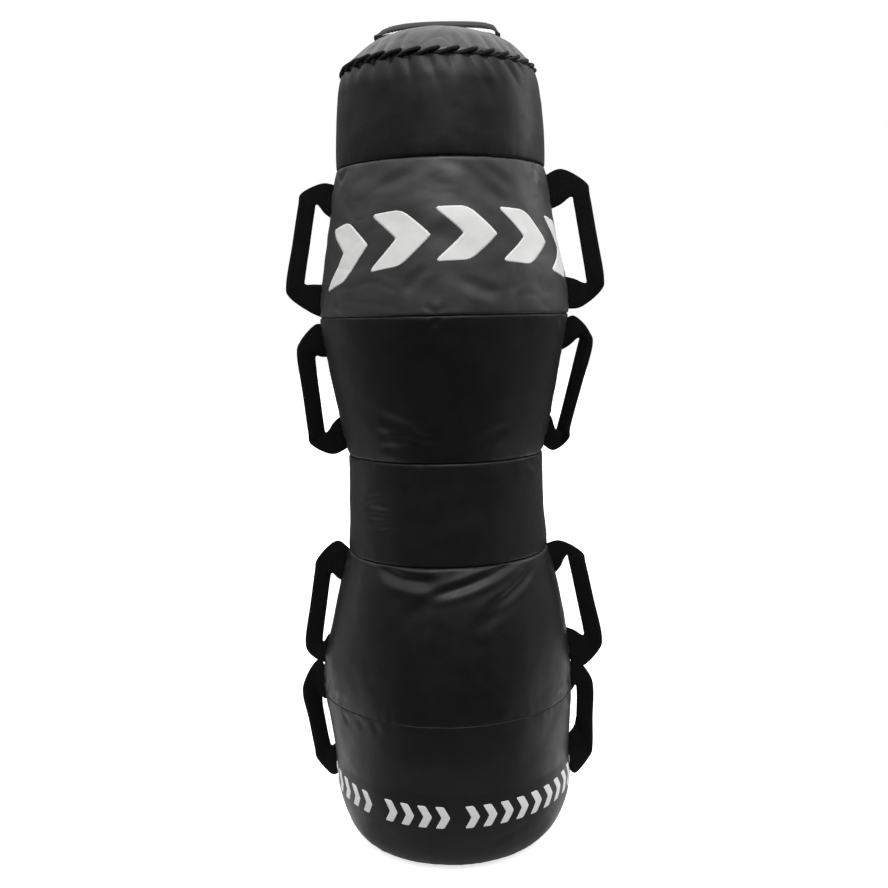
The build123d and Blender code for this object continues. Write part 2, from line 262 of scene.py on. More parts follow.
def fold(angle, height, at_angle, at_height, length, width, depth, tilt, bow=0.0):
    """A crease that tapers to its ends, with a soft lip along each side."""
    lip, lip_away, fullness = 0.42, 1.9, 1.5
    across_cover = radians(1) * cover_radius(at_height) * degrees_between(angle, at_angle)
    up = height - at_height
    t = radians(tilt)
    along = across_cover * cos(t) + up * sin(t)
    off = -across_cover * sin(t) + up * cos(t) - bow * along**2
    taper = smooth_step(fullness * (1 - np.abs(along) / (length / 2)))
    shape = np.exp(-((off / width) ** 2))
    for side in (-1, 1):
        shape = shape - lip * np.exp(-(((off - side * lip_away * width) / width) ** 2))
    return -depth * taper * shape


def loose_folds():
    """Small creases that run slantwise out of the seams, mostly on the sides and back."""
    made = []
    seams = [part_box(f"{ring}_panel_front")[0][2] for ring in RINGS[1:]]
    for _ in range(LOOSE_FOLDS):
        angle = rng.uniform(50, 310)
        side = rng.choice([-1, 1])
        length, width = rng.uniform(0.022, 0.055), rng.uniform(0.0034, 0.0070)
        tilt = rng.uniform(25, 75) * rng.choice([-1, 1])
        seam = seams[rng.integers(len(seams))]
        height = seam + side * (0.004 + 0.42 * length * sin(radians(abs(tilt))))
        depth = width * rng.uniform(0.14, 0.30)
        made.append((angle, height, length, width, depth, tilt, rng.uniform(-5, 5)))
    return made


def grip_pulls():
    """Short creases that run from each grip's sewn ends into the cover."""
    made = []
    for _, side, top, bottom, *_ in HANDLES:
        for height, slope in ((top, 1), (bottom, -1)):
            for spread, tilt in ((0.016, 24), (-0.014, -20)):
                for face in (-1, 1):
                    angle = side * 90 + face * 8
                    lean = tilt * slope * face
                    made.append((angle, height + spread, 0.045, 0.0042, 0.0014, lean))
    return made


ALL_FOLDS = FOLDS + loose_folds() + grip_pulls()


def ring_place(angle, radius):
    """Where an angle lies on a ring, for the gathers' unevenness."""
    turn = np.radians(angle)
    return np.stack([np.sin(turn), np.cos(turn), 0 * turn], axis=-1) * radius


def gathers(angle, height):
    """Folds that run down from the lacing, one to a stitch and no two alike."""
    below = HEAD_EDGE - height
    sideways = np.sin(np.radians(angle))
    ring = ring_place(angle, HEAD_GATHER_RING)
    length = 0.009 + 0.006 * sideways + 0.015 * (0.5 + 0.9 * rough(ring, 0.034, 11))
    lean = 0.40 + 0.34 * sideways + 0.35 * rough(ring, 0.05, 12)
    turn = (angle - degrees(1 / 0.146) * lean * below) / STITCH_ANGLE + 0.5
    puff = np.abs(np.sin(pi * turn)) ** 0.7
    strength = 0.95 + 0.9 * rough(ring, 0.045, 13)
    fine = 1 - np.abs(np.sin(1.7 * pi * turn + 4 * rough(ring, 0.06, 14))) ** 0.8
    tucks = 0.0052 * strength * (1 - puff) * np.exp(-((below / np.maximum(length, 0.006)) ** 1.4))
    return -tucks - 0.0014 * fine * np.exp(-below / 0.007)


def relief(angle, height, ring):
    """How far the cover stands off its smooth outline: seams, puckers, folds and soft hollows."""
    low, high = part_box(f"{ring}_panel_front")[0][2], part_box(f"{ring}_panel_front")[1][2]
    turn, r = np.radians(angle), cover_radius(height)
    place = np.stack([np.sin(turn) * r, -np.cos(turn) * r, height], axis=-1)

    out = lumps(angle, height)
    for number, (edge, sewn) in enumerate(((low, True), (high, ring != "head"))):
        gap = np.abs(height - edge)
        if sewn:
            flush = FLUSH_SEAM if abs(edge - FLUSH_HEIGHT) < 0.002 else 1.0
            out -= turned_in(gap, SEAM_TURN * flush) + SEAM_DIP * flush * np.exp(-gap / SEAM_DIP_REACH)
            seam_place = place * (1, 1, 0)
            pucker = rough(seam_place, 0.011, 20 + number) + 0.7 * rough(seam_place, 0.026, 30 + number)
            out += PUCKER * pucker * np.exp(-gap / PUCKER_REACH)
        else:
            out -= turned_in(gap, EDGE_TURN)
    turned = np.minimum(np.abs(degrees_between(angle, 90)), np.abs(degrees_between(angle, -90)))
    side = radians(1) * r * turned
    out -= turned_in(side, SIDE_TURN) + SIDE_DIP * np.exp(-side / SIDE_REACH)
    out += SIDE_PUCKER * rough(place * (0, 0, 1), 0.013, 40) * np.exp(-side / SIDE_REACH)

    soft = SOFTNESS.get(ring, PLAIN_SOFTNESS)
    out += soft * rough(place * (1, 1, 1.5), 0.060, 50) + 0.55 * soft * rough(place, 0.026, 51)
    slack = np.clip(rough(place, 0.11, 52) + 0.15, 0, 1)
    calm = 1 - 0.85 * np.exp(-((degrees_between(angle, 0) / 48) ** 2)) if ring == "head" else 1
    out -= 0.6 * calm * soft * slack * (1 - np.abs(rough(place * (1, 1, 1.8), 0.045, 53))) ** 5

    inside = smooth_step((height - low) / FOLD_FADE) * smooth_step((high - height) / FOLD_FADE)
    for at_angle, at_height, *shape in ALL_FOLDS:
        if low <= at_height <= high:
            out += inside * fold(angle, height, at_angle, at_height, *shape)
    if ring == "head":
        out += gathers(angle, height)
    return out


def cover_point(angle, height, ring, inset=0.0):
    """Points on the stuffed cover, inset along the radius."""
    turn = np.radians(angle)
    r = cover_radius(height) + relief(angle, height, ring) - inset
    return np.stack([r * np.sin(turn), -r * np.cos(turn), height + 0 * r], axis=-1)


# ---------------- meshes
def make_object(name, vertices, faces, materials, body, uv=None, face_material=None):
    """A mesh object that rides a body. uv holds one pair for each corner of each face."""
    mesh = bpy.data.meshes.new(name)
    mesh.from_pydata(np.asarray(vertices, float).tolist(), [], [list(map(int, f)) for f in faces])
    for item in materials:
        mesh.materials.append(item)
    if face_material is not None:
        mesh.polygons.foreach_set("material_index", np.asarray(face_material, np.int32))
    if uv is not None:
        layer = mesh.uv_layers.new(name="weave")
        layer.data.foreach_set("uv", np.asarray(uv, np.float32).ravel())
    mesh.polygons.foreach_set("use_smooth", np.ones(len(mesh.polygons), bool))
    mesh.update()
    obj = bpy.data.objects.new(name, mesh)
    bpy.context.scene.collection.objects.link(obj)
    if body:
        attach(obj, body)
    return obj


def grid_faces(rows, columns, wrap, start=0, flip=False):
    """Quads of a grid of points stored row by row; wrap joins the last column to the first."""
    i, j = np.meshgrid(np.arange(rows - 1), np.arange(columns if wrap else columns - 1), indexing="ij")
    k = (j + 1) % columns
    corners = [i * columns + j, i * columns + k, (i + 1) * columns + k, (i + 1) * columns + j]
    quads = np.stack(corners, axis=-1).reshape(-1, 4) + start
    return quads[:, ::-1] if flip else quads


def shell(outer, inner, wrap):
    """Closed wall between two matching grids of points."""
    rows, columns = outer.shape[:2]
    count = rows * columns
    faces = [grid_faces(rows, columns, wrap), grid_faces(rows, columns, wrap, count, True)]
    grid = np.arange(count).reshape(rows, columns)
    rims = [(grid[0], True), (grid[-1], False)]
    if wrap:
        rims = [(np.append(line, line[0]), flip) for line, flip in rims]
    else:
        rims += [(grid[:, 0], False), (grid[:, -1], True)]
    for line, flip in rims:
        a, b = line[:-1], line[1:]
        quads = np.stack([a, b, b + count, a + count], axis=-1)
        faces.append(quads[:, ::-1] if flip else quads)
    return np.concatenate([outer.reshape(-1, 3), inner.reshape(-1, 3)]), np.concatenate(faces)


def tube(sections, along, around):
    """Closed tube through rings of points. along and around are the UVs of its rows and columns."""
    rows, columns = sections.shape[:2]
    faces = grid_faces(rows, columns, True)
    i, j = np.meshgrid(np.arange(rows - 1), np.arange(columns), indexing="ij")
    corners = [(i, j), (i, j + 1), (i + 1, j + 1), (i + 1, j)]
    uv = np.stack([np.stack([along[a], around[b]], axis=-1) for a, b in corners], axis=2).reshape(-1, 2)
    centres = [sections[0].mean(axis=0), sections[-1].mean(axis=0)]
    vertices = np.concatenate([sections.reshape(-1, 3), centres])
    last = (rows - 1) * columns
    step = np.arange(columns)
    following = (step + 1) % columns
    ends = [[rows * columns, b, a] for a, b in zip(step, following)]
    ends += [[rows * columns + 1, last + a, last + b] for a, b in zip(step, following)]
    uv = np.concatenate([uv, np.zeros((3 * len(ends), 2))])
    return vertices, [list(f) for f in faces] + ends, uv


def joined(parts):
    """Several (vertices, faces, uv) as one."""
    vertices, faces, uv, start = [], [], [], 0
    for v, f, u in parts:
        vertices.append(v)
        faces += [[int(k) + start for k in face] for face in f]
        uv.append(u)
        start += len(v)
    return np.concatenate(vertices), faces, np.concatenate(uv)


def spread_rows(low, high, step, edge):
    """Positions from low to high, crowded beside both ends where the edges round in."""
    crowd = np.array([0, 0.04, 0.14, 0.32, 0.6, 1.0, 1.6]) * edge
    middle = np.linspace(low + crowd[-1], high - crowd[-1], ceil((high - low) / step))[1:-1]
    return np.concatenate([low + crowd, middle, (high - crowd)[::-1]])


def catmull(points, count):
    """Smooth open curve through points, as an array of count points."""
    p = np.asarray(points, float)
    p = np.concatenate([[2 * p[0] - p[1]], p, [2 * p[-1] - p[-2]]])
    spans = len(p) - 3
    s = np.linspace(0, spans, count)
    k = np.minimum(s.astype(int), spans - 1)
    t = (s - k)[:, None]
    a, b, c, d = p[k], p[k + 1], p[k + 2], p[k + 3]
    return 0.5 * (2 * b + (c - a) * t + (2 * a - 5 * b + 4 * c - d) * t**2 + (3 * b - a - 3 * c + d) * t**3)


def lengths(points):
    """Distance along a line of points."""
    return np.concatenate([[0], np.cumsum(np.linalg.norm(np.diff(points, axis=0), axis=1))])


def directions(points):
    """Unit tangents of a line of points."""
    tangent = np.gradient(points, axis=0)
    return tangent / np.linalg.norm(tangent, axis=1)[:, None]


# ---------------- materials
def scaled(color, factor):
    return tuple(c * factor for c in color)


class Nodes:
    """Short calls to add nodes to a node tree."""

    def __init__(self, tree):
        self.tree = tree

    def set(self, node, socket, value):
        if hasattr(value, "is_output"):
            self.tree.links.new(value, node.inputs[socket])
        else:
            node.inputs[socket].default_value = value

    def add(self, kind, out=0, settings=(), **inputs):
        """Adds a node and gives its output. Inputs go by name, or by number as i0, i1 and so on."""
        node = self.tree.nodes.new("ShaderNode" + kind)
        for key, value in dict(settings).items():
            setattr(node, key, value)
        for key, value in inputs.items():
            by_number = key[0] == "i" and key[1:].isdigit()
            self.set(node, int(key[1:]) if by_number else key.replace("_", " "), value)
        return node.outputs[out]

    def math(self, operation, a, b=0.5):
        return self.add("Math", settings={"operation": operation}, i0=a, i1=b)

    def vector(self, operation, a, b=(0, 0, 0), out=0):
        return self.add("VectorMath", out, settings={"operation": operation}, i0=a, i1=b)

    def between(self, value, low, high, low_in=0.3, high_in=0.7):
        """value, from low_in to high_in, carried to low to high."""
        return self.add("MapRange", i0=value, i1=low_in, i2=high_in, i3=low, i4=high)

    def eased(self, value, low_in, high_in, low, high):
        """The same along a smooth step."""
        settings = {"interpolation_type": "SMOOTHSTEP"}
        return self.add("MapRange", settings=settings, i0=value, i1=low_in, i2=high_in, i3=low, i4=high)


class Shader(Nodes):
    """A Principled material, with its textures on object coordinates."""

    def __init__(self, name, color, roughness, specular):
        self.material = bpy.data.materials.new(name)
        self.material.use_nodes = True
        super().__init__(self.material.node_tree)
        self.main = self.tree.nodes["Principled BSDF"]
        self.set(self.main, "Base Color", (*color, 1))
        self.set(self.main, "Roughness", roughness)
        self.set(self.main, "Specular IOR Level", specular)
        self.place = self.tree.nodes.new("ShaderNodeTexCoord").outputs["Object"]
        self.normal = None

    def noise(self, scale, detail, roughness):
        return self.add("TexNoise", Vector=self.place, Scale=scale, Detail=detail, Roughness=roughness)

    def grain(self):
        """Cells of the leather grain, shared by the cover and its print."""
        settings = {"feature": "SMOOTH_F1"}
        return self.add("TexVoronoi", settings=settings, Vector=self.place, Scale=720, Smoothness=0.6)

    def tint(self, value, dark, light, low=0.3, high=0.7):
        """Colour that runs from dark to light with value."""
        ramp = self.tree.nodes.new("ShaderNodeValToRGB")
        ramp.color_ramp.elements[0].position, ramp.color_ramp.elements[0].color = low, (*dark, 1)
        ramp.color_ramp.elements[1].position, ramp.color_ramp.elements[1].color = high, (*light, 1)
        self.tree.links.new(value, ramp.inputs[0])
        return ramp.outputs[0]

    def bump(self, height, strength, depth):
        """Adds a bump of the given depth in metres on top of those before it."""
        inputs = {"Height": height, "Strength": strength, "Distance": depth}
        if self.normal is not None:
            inputs["Normal"] = self.normal
        self.normal = self.add("Bump", **inputs)
        self.set(self.main, "Normal", self.normal)


def vinyl(name, color, roughness, specular):
    """Soft coated fabric: fine leather grain, faint scuffs and cloudy tone."""
    s = Shader(name, color, roughness, specular)
    cloud = s.noise(11, 4, 0.6)
    s.set(s.main, "Base Color", s.tint(cloud, scaled(color, 0.80), scaled(color, 1.25)))
    scuff = s.add("TexNoise", Vector=s.place, Scale=26, Detail=6.0, Roughness=0.65, Distortion=0.6)
    s.set(s.main, "Roughness", s.between(scuff, roughness - 0.05, roughness + 0.09))
    s.bump(s.noise(38, 3, 0.5), 0.30, 0.0012)
    s.bump(s.grain(), 0.22, 0.00025)
    s.bump(s.noise(1500, 2, 0.6), 0.10, 0.00012)
    return s.material


def woven(name, color, roughness, across, along, fuzz):
    """Woven webbing: ribs across the strap and yarns along it, on real-size UVs."""
    s = Shader(name, color, roughness, 0.18)
    uv = s.add("UVMap", settings={"uv_map": "weave"})
    brick = s.add(
        "TexBrick", out=1, settings={"offset": 0.5}, Vector=uv, Scale=1.0, Mortar_Size=along * 0.22,
        Mortar_Smooth=1.0, Brick_Width=across, Row_Height=along,
    )
    s.bump(s.math("SUBTRACT", 1.0, brick), 0.55, 0.0005)
    s.bump(s.noise(900, 3, 0.7), 0.25, 0.0003)
    wear = s.noise(45, 5, 0.65)
    s.set(s.main, "Base Color", s.tint(wear, scaled(color, 0.7), scaled(color, 1.7)))
    s.set(s.main, "Roughness", s.between(wear, roughness - 0.08, roughness + 0.06))
    s.set(s.main, "Sheen Weight", fuzz)
    s.set(s.main, "Sheen Roughness", 0.5)
    s.set(s.main, "Sheen Tint", (0.25, 0.25, 0.26, 1))
    return s.material


def braided(name, color, pitch, roughness=0.6):
    """Round braided cord: strands crossing both ways, on UVs of length and turn."""
    s = Shader(name, color, roughness, 0.25)
    uv = s.add("UVMap", settings={"uv_map": "weave"})
    split = s.tree.nodes.new("ShaderNodeSeparateXYZ")
    s.tree.links.new(uv, split.inputs[0])
    along = s.math("MULTIPLY", split.outputs[0], 2 * pi / pitch)
    around = s.math("MULTIPLY", split.outputs[1], 2 * pi * 4)
    one = s.math("SINE", s.math("ADD", along, around))
    other = s.math("SINE", s.math("SUBTRACT", along, around))
    s.bump(s.math("MAXIMUM", one, other), 0.7, 0.0004)
    s.bump(s.noise(1400, 2, 0.6), 0.2, 0.0002)
    wear = s.noise(120, 4, 0.6)
    s.set(s.main, "Base Color", s.tint(wear, scaled(color, 0.6), scaled(color, 1.8)))
    return s.material


def printed_ink(name):
    """White screen print: matt, slightly uneven, with the cover's grain showing through."""
    s = Shader(name, (0.90, 0.90, 0.89), 0.55, 0.3)
    uneven = s.noise(70, 5, 0.7)
    s.set(s.main, "Base Color", s.tint(uneven, (0.87, 0.87, 0.86), (0.93, 0.93, 0.92), 0.25, 0.5))
    s.set(s.main, "Roughness", s.between(uneven, 0.48, 0.62))
    s.bump(s.grain(), 0.15, 0.0002)
    return s.material


def cloth(name, color, roughness, scale, depth, spread):
    """Plain inner material, mottled and finely textured."""
    s = Shader(name, color, roughness, 0.3)
    mottle = s.noise(scale * 0.1, 5, 0.6)
    s.set(s.main, "Base Color", s.tint(mottle, scaled(color, 1 - spread), scaled(color, 1 + spread)))
    s.set(s.main, "Roughness", s.between(mottle, roughness - 0.06, roughness + 0.06))
    s.bump(s.add("TexVoronoi", Vector=s.place, Scale=scale), 0.5, depth)
    return s.material


# The rings are cut from rolls of slightly different finish: the shoulder ring is the greyest, its grey
# colour partly its own finish and partly painted light from the lamps above. The cap's grey colour is
# painted light from above on the same black vinyl.
BLACK = (0.0085, 0.0085, 0.0087)
FINISH_AND_PAINTED_LIGHT = {
    "base": (BLACK, 0.42, 0.34),
    "hip": (BLACK, 0.38, 0.34),
    "waist": (BLACK, 0.42, 0.30),
    "chest": (BLACK, 0.44, 0.28),
    "shoulder": ((0.027, 0.027, 0.027), 0.44, 0.56),
    "head": ((0.0090, 0.0090, 0.0092), 0.37, 0.30),
    "cap": ((0.030, 0.030, 0.030), 0.36, 0.70),
}
VINYL = {ring: vinyl(f"vinyl_{ring}", *finish) for ring, finish in FINISH_AND_PAINTED_LIGHT.items()}
GRIP_WEB = woven("grip_webbing", (0.0028, 0.0028, 0.0030), 0.85, 0.0030, 0.0014, 0.08)
# The strap's webbing is given a lighter colour than the grips': painted sheen of the light from above on
# its top face.
STRAP_WEB = woven("strap_webbing", (0.015, 0.015, 0.0152), 0.66, 0.0030, 0.0014, 0.10)
THREAD = braided("sewing_thread", (0.020, 0.020, 0.021), 0.0012)
LACE = braided("lace_cord", (0.0035, 0.0035, 0.0037), 0.0058, 0.72)
INK = printed_ink("white_print")
FOAM_CELLS = cloth("open_cell_foam", (0.62, 0.61, 0.57), 0.9, 900, 0.0004, 0.08)
FLAP_CLOTH = cloth("flap_cloth", (0.010, 0.010, 0.010), 0.9, 1300, 0.0003, 0.2)
INNER = {
    "base_foam_pad": FOAM_CELLS,
    "liner_bag": cloth("liner_cloth", (0.52, 0.50, 0.45), 0.85, 1100, 0.0003, 0.1),
    "liner_drawcord": cloth("liner_cord", (0.60, 0.58, 0.52), 0.8, 1600, 0.0004, 0.15),
    "textile_filling": cloth("textile_cuttings", (0.22, 0.22, 0.24), 0.95, 160, 0.002, 0.6),
    "ballast_bag_lower": cloth("ballast_cloth", (0.05, 0.05, 0.048), 0.6, 700, 0.0003, 0.2),
    "ballast_bag_upper": cloth("ballast_cloth_2", (0.05, 0.05, 0.048), 0.6, 700, 0.0003, 0.2),
    "bottom_disc": vinyl("vinyl_bottom", (0.0075, 0.0075, 0.0078), 0.50, 0.30),
}


# ---------------- cover
def cover_panel(ring, half):
    """One half ring of the cover, a closed skin with turned-in seams."""
    node = f"{ring}_panel_{half}"
    low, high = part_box(node)[0][2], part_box(node)[1][2]
    middle = 0 if half == "front" else 180
    edge = degrees(SIDE_TURN / float(cover_radius((low + high) / 2)))
    angles = middle + spread_rows(-90, 90, COLUMN_STEP, edge)
    angle, height = np.meshgrid(angles, spread_rows(low, high, ROW_STEP, SEAM_TURN))
    outer = cover_point(angle, height, ring)
    away = np.stack([np.sin(np.radians(angle)), -np.cos(np.radians(angle)), 0 * angle], axis=-1)
    vertices, faces = shell(outer, outer - SKIN * away, False)
    obj = make_object(node + "_cover", vertices, faces, [VINYL[ring]], "bag")
    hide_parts(node)


def foam_ring(ring):
    """The sheet of foam behind both halves of one ring."""
    node = f"{ring}_foam"
    low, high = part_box(node)[0][2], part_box(node)[1][2]
    angle, height = np.meshgrid(np.linspace(0, 360, 180, endpoint=False), np.linspace(low, high, 40))
    round_off = 0.003 * np.exp(-np.minimum(height - low, high - height) / 0.004)
    outer = cover_point(angle, height, ring, FOAM_BEHIND + round_off)
    inner = cover_point(angle, height, ring, FOAM_BEHIND + FOAM)
    vertices, faces = shell(outer, inner, True)
    obj = make_object(node + "_sheet", vertices, faces, [FOAM_CELLS], "bag")
    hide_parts(node)


def cap_point(angle, radius):
    """Points on the crowned cap, drawn down towards each hole of the lacing."""
    turn = np.radians(angle)
    place = np.stack([radius * np.sin(turn), -radius * np.cos(turn), 0 * radius], axis=-1)
    edge = CAP_RIM - radius
    ring = ring_place(angle, CAP_GATHER_RING)
    length = 0.013 + 0.016 * (0.5 + 0.8 * rough(ring, 0.03, 61))
    valley = 1 - np.abs(np.sin(pi * (angle / STITCH_ANGLE + 0.1))) ** 0.8
    height = cap_height(radius) - 0.0046 * valley * np.exp(-((edge / np.maximum(length, 0.005)) ** 1.3))
    height -= turned_in(edge, 0.0030)
    height += 0.0009 * rough(place, 0.045, 62) + 0.0005 * rough(place, 0.020, 63)
    height += 0.0012 * rough(place, 0.0100, 65) * np.exp(-((edge / 0.022) ** 2))
    height += 0.0045 * np.exp(-((degrees_between(angle, 85) / 42) ** 2) - ((radius - 0.112) / 0.020) ** 2)
    height -= 0.0010 * (1 - np.abs(rough(place, 0.034, 64))) ** 8
    return np.stack([place[..., 0], place[..., 1], height], axis=-1)


def top_cap():
    """Crowned cap with a hemmed, gathered edge."""
    gathered = 0.118            # from here out the rows lie closer
    edge = gathered + (CAP_RIM - gathered) * np.linspace(0, 1, 15)[1:] ** 0.8
    radii = np.concatenate([np.linspace(0.0004, gathered, 44), edge])
    angle, radius = np.meshgrid(np.linspace(0, 360, 416, endpoint=False), radii)
    outer = cap_point(angle, radius)
    vertices, faces = shell(outer, outer - (0, 0, SKIN), True)
    obj = make_object("top_cap_cover", vertices, faces[:, ::-1], [VINYL["cap"]], "bag")
    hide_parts("top_cap")


def dust_flap():
    """Cloth strip that closes the laced joint from inside."""
    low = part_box("dust_flap")[0][2]
    angles = np.linspace(0, 360, 384, endpoint=False)
    angle, height = np.meshgrid(angles, np.linspace(low, HEAD_EDGE - 0.0004, 9))
    below = cover_point(angle, height, "head", 0.0018)
    angle, radius = np.meshgrid(angles, np.linspace(CAP_RIM - 0.0024, CAP_RIM - 0.0130, 6))
    above = cap_point(angle, radius) - (0, 0, 0.0022)
    outer = np.concatenate([below, above])
    away = outer * (1, 1, 0)
    away /= np.linalg.norm(away, axis=-1)[..., None]
    lean = np.linspace(0, 1, len(outer))[:, None, None]
    through = away * (1 - lean) + lean * np.array([0, 0, 1.0])
    vertices, faces = shell(outer, outer - FLAP_THICK * through, True)
    obj = make_object("dust_flap_strip", vertices, faces, [FLAP_CLOTH], "bag")
    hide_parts("dust_flap")


def top_pad():
    """Crowned foam pad under the cap, hollow underneath for the gathered mouth of the liner."""
    low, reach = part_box("top_foam_pad")[0][2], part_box("top_foam_pad")[1][0]
    neck_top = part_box("liner_bag")[1][2] + 0.001
    neck = NECK_HOLLOW + np.array([-0.0005, 0.0005])
    radii = np.concatenate([[0.0004, 0.012, 0.022], neck, np.linspace(0.044, reach, 34)])
    angle, radius = np.meshgrid(np.linspace(0, 360, 288, endpoint=False), radii)
    crown = cap_point(angle, radius) - (0, 0, 0.0026)
    under = crown * (1, 1, 0)
    under[..., 2] = np.where(radius < NECK_HOLLOW, neck_top, low)
    crown[..., 2] = np.maximum(crown[..., 2], under[..., 2] + 0.0015)
    vertices, faces = shell(crown, under, True)
    obj = make_object("top_foam_pad_crown", vertices, faces[:, ::-1], [FOAM_CELLS], "bag")
    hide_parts("top_foam_pad")


# ---------------- lacing
def cord_tube(path, radius, around=12):
    """Round cord along an array of points, with parallel-carried sections."""
    path = np.asarray(path, float)
    tangent = directions(path)
    side = np.cross(tangent[0], (0.3, 0.2, 1.0))
    sections = []
    turns = np.linspace(0, 2 * pi, around, endpoint=False)
    for point, ahead in zip(path, tangent):
        side = side - ahead * np.dot(side, ahead)
        side /= np.linalg.norm(side)
        up = np.cross(ahead, side)
        sections.append([point + radius * (cos(t) * side + sin(t) * up) for t in turns])
    return tube(np.array(sections), lengths(path), np.linspace(0, 1, around + 1))


def lace_path():
    """The lace's line: out below the joint, along and over it, in through the cap, and on."""
    out_share, advance = 0.84, 1.08     # the part of a stitch seen outside, and its step round the joint
    lower, upper = np.array(LOWER_HOLE), np.array(UPPER_HOLE)
    rise = (upper - lower) / np.linalg.norm(upper - lower)
    outward = np.array([rise[1], -rise[0]])
    points, per_stitch = [], 20
    for step in range(STITCHES * per_stitch + 1):
        stitch, t = divmod(step / per_stitch, 1)
        if t < out_share:
            s = t / out_share
            spot = lower + (upper - lower) * s**1.6 + outward * (0.0004 + 0.0044 * sin(pi * s) ** 0.9)
            along = advance * s
        else:
            s = (t - out_share) / (1 - out_share)
            spot = upper + (lower - upper) * s + outward * (0.0016 - 0.0060 * sin(pi * s) ** 0.7)
            along = advance + (1 - advance) * s
        turn = radians(180 + (stitch + along) * STITCH_ANGLE)
        points.append((spot[0] * sin(turn), -spot[0] * cos(turn), spot[1]))
    return catmull(points, len(points) * 2)


def lacing():
    """The wound lace, and its knot with two tails at the back."""
    vertices, faces, uv = cord_tube(lace_path(), LACE_RADIUS)
    obj = make_object("closure_lace_wound", vertices, faces, [LACE], "bag", uv)
    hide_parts("closure_lace")

    low, high = (np.array(c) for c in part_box("lace_knot"))
    cx, cy, cz = (low + high) / 2 - (0, 0.0040, 0.0015)
    size = 0.0046
    knot = []
    for k in range(97):
        t = 2 * pi * k / 96
        knot.append((
            cx + size * 0.62 * (sin(t) + 2 * sin(2 * t)),
            cy - 0.003 - size * 0.30 * sin(3 * t),
            cz + size * 0.52 * (cos(t) - 2 * cos(2 * t)),
        ))
    parts = [cord_tube(knot, LACE_RADIUS * 0.9)]
    for side in (-1, 1):
        tail = catmull([
            (cx + side * 0.003, cy - 0.002, cz - 0.003),
            (cx + side * 0.009, cy + 0.001, cz - 0.009),
            (cx + side * 0.014, cy - 0.004, cz - 0.018),
            (cx + side * 0.012, cy - 0.0075, cz - 0.030),
        ], 30)
        parts.append(cord_tube(tail, LACE_RADIUS * 0.9))
    vertices, faces, uv = joined(parts)
    obj = make_object("lace_knot_tied", vertices, faces, [LACE], "bag", uv)
    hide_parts("lace_knot")


# ---------------- webbing
def web_section(centre, wide, thick, half_width, half_thick, fold_gap):
    """Ring of points round a strap: rounded edges, and a groove along one edge where it is folded."""
    turns = np.linspace(0, 2 * pi, WEB_POINTS, endpoint=False)
    across = np.sign(np.cos(turns)) * np.abs(np.cos(turns)) ** 0.45
    through = np.sign(np.sin(turns)) * np.abs(np.sin(turns)) ** 0.75
    groove = fold_gap * np.exp(-((through / 0.30) ** 2)) * (across < -0.5)
    offset = across * (half_width - groove)
    return centre + offset[:, None] * wide + (through * half_thick)[:, None] * thick


def stitch_row(points, out):
    """Thread stitches laid along a line of points; out is the direction they stand off in."""
    parts = []
    steps = lengths(points)
    at = 0.004
    while at + STITCH_LENGTH < steps[-1] - 0.003:
        s = np.linspace(at, at + STITCH_LENGTH, 5)
        line = np.stack([np.interp(s, steps, points[:, k]) for k in range(3)], axis=-1)
        off = np.stack([np.interp(s, steps, out[:, k]) for k in range(3)], axis=-1)
        lift = np.array([-0.0005, 0.00008, 0.0002, 0.00008, -0.0005])[:, None]
        parts.append(cord_tube(line + off * lift, THREAD_RADIUS, around=5))
        at += STITCH_LENGTH + STITCH_SPACE
    return parts


def sewn_webbing(node, web, stitches, material, body):
    """One piece of webbing together with its thread stitches."""
    sewn = joined(stitches)
    vertices, faces, uv = joined([web, sewn])
    marks = [0] * len(web[1]) + [1] * len(sewn[1])
    return make_object(node + "_webbing", vertices, faces, [material, THREAD], body, uv, marks)


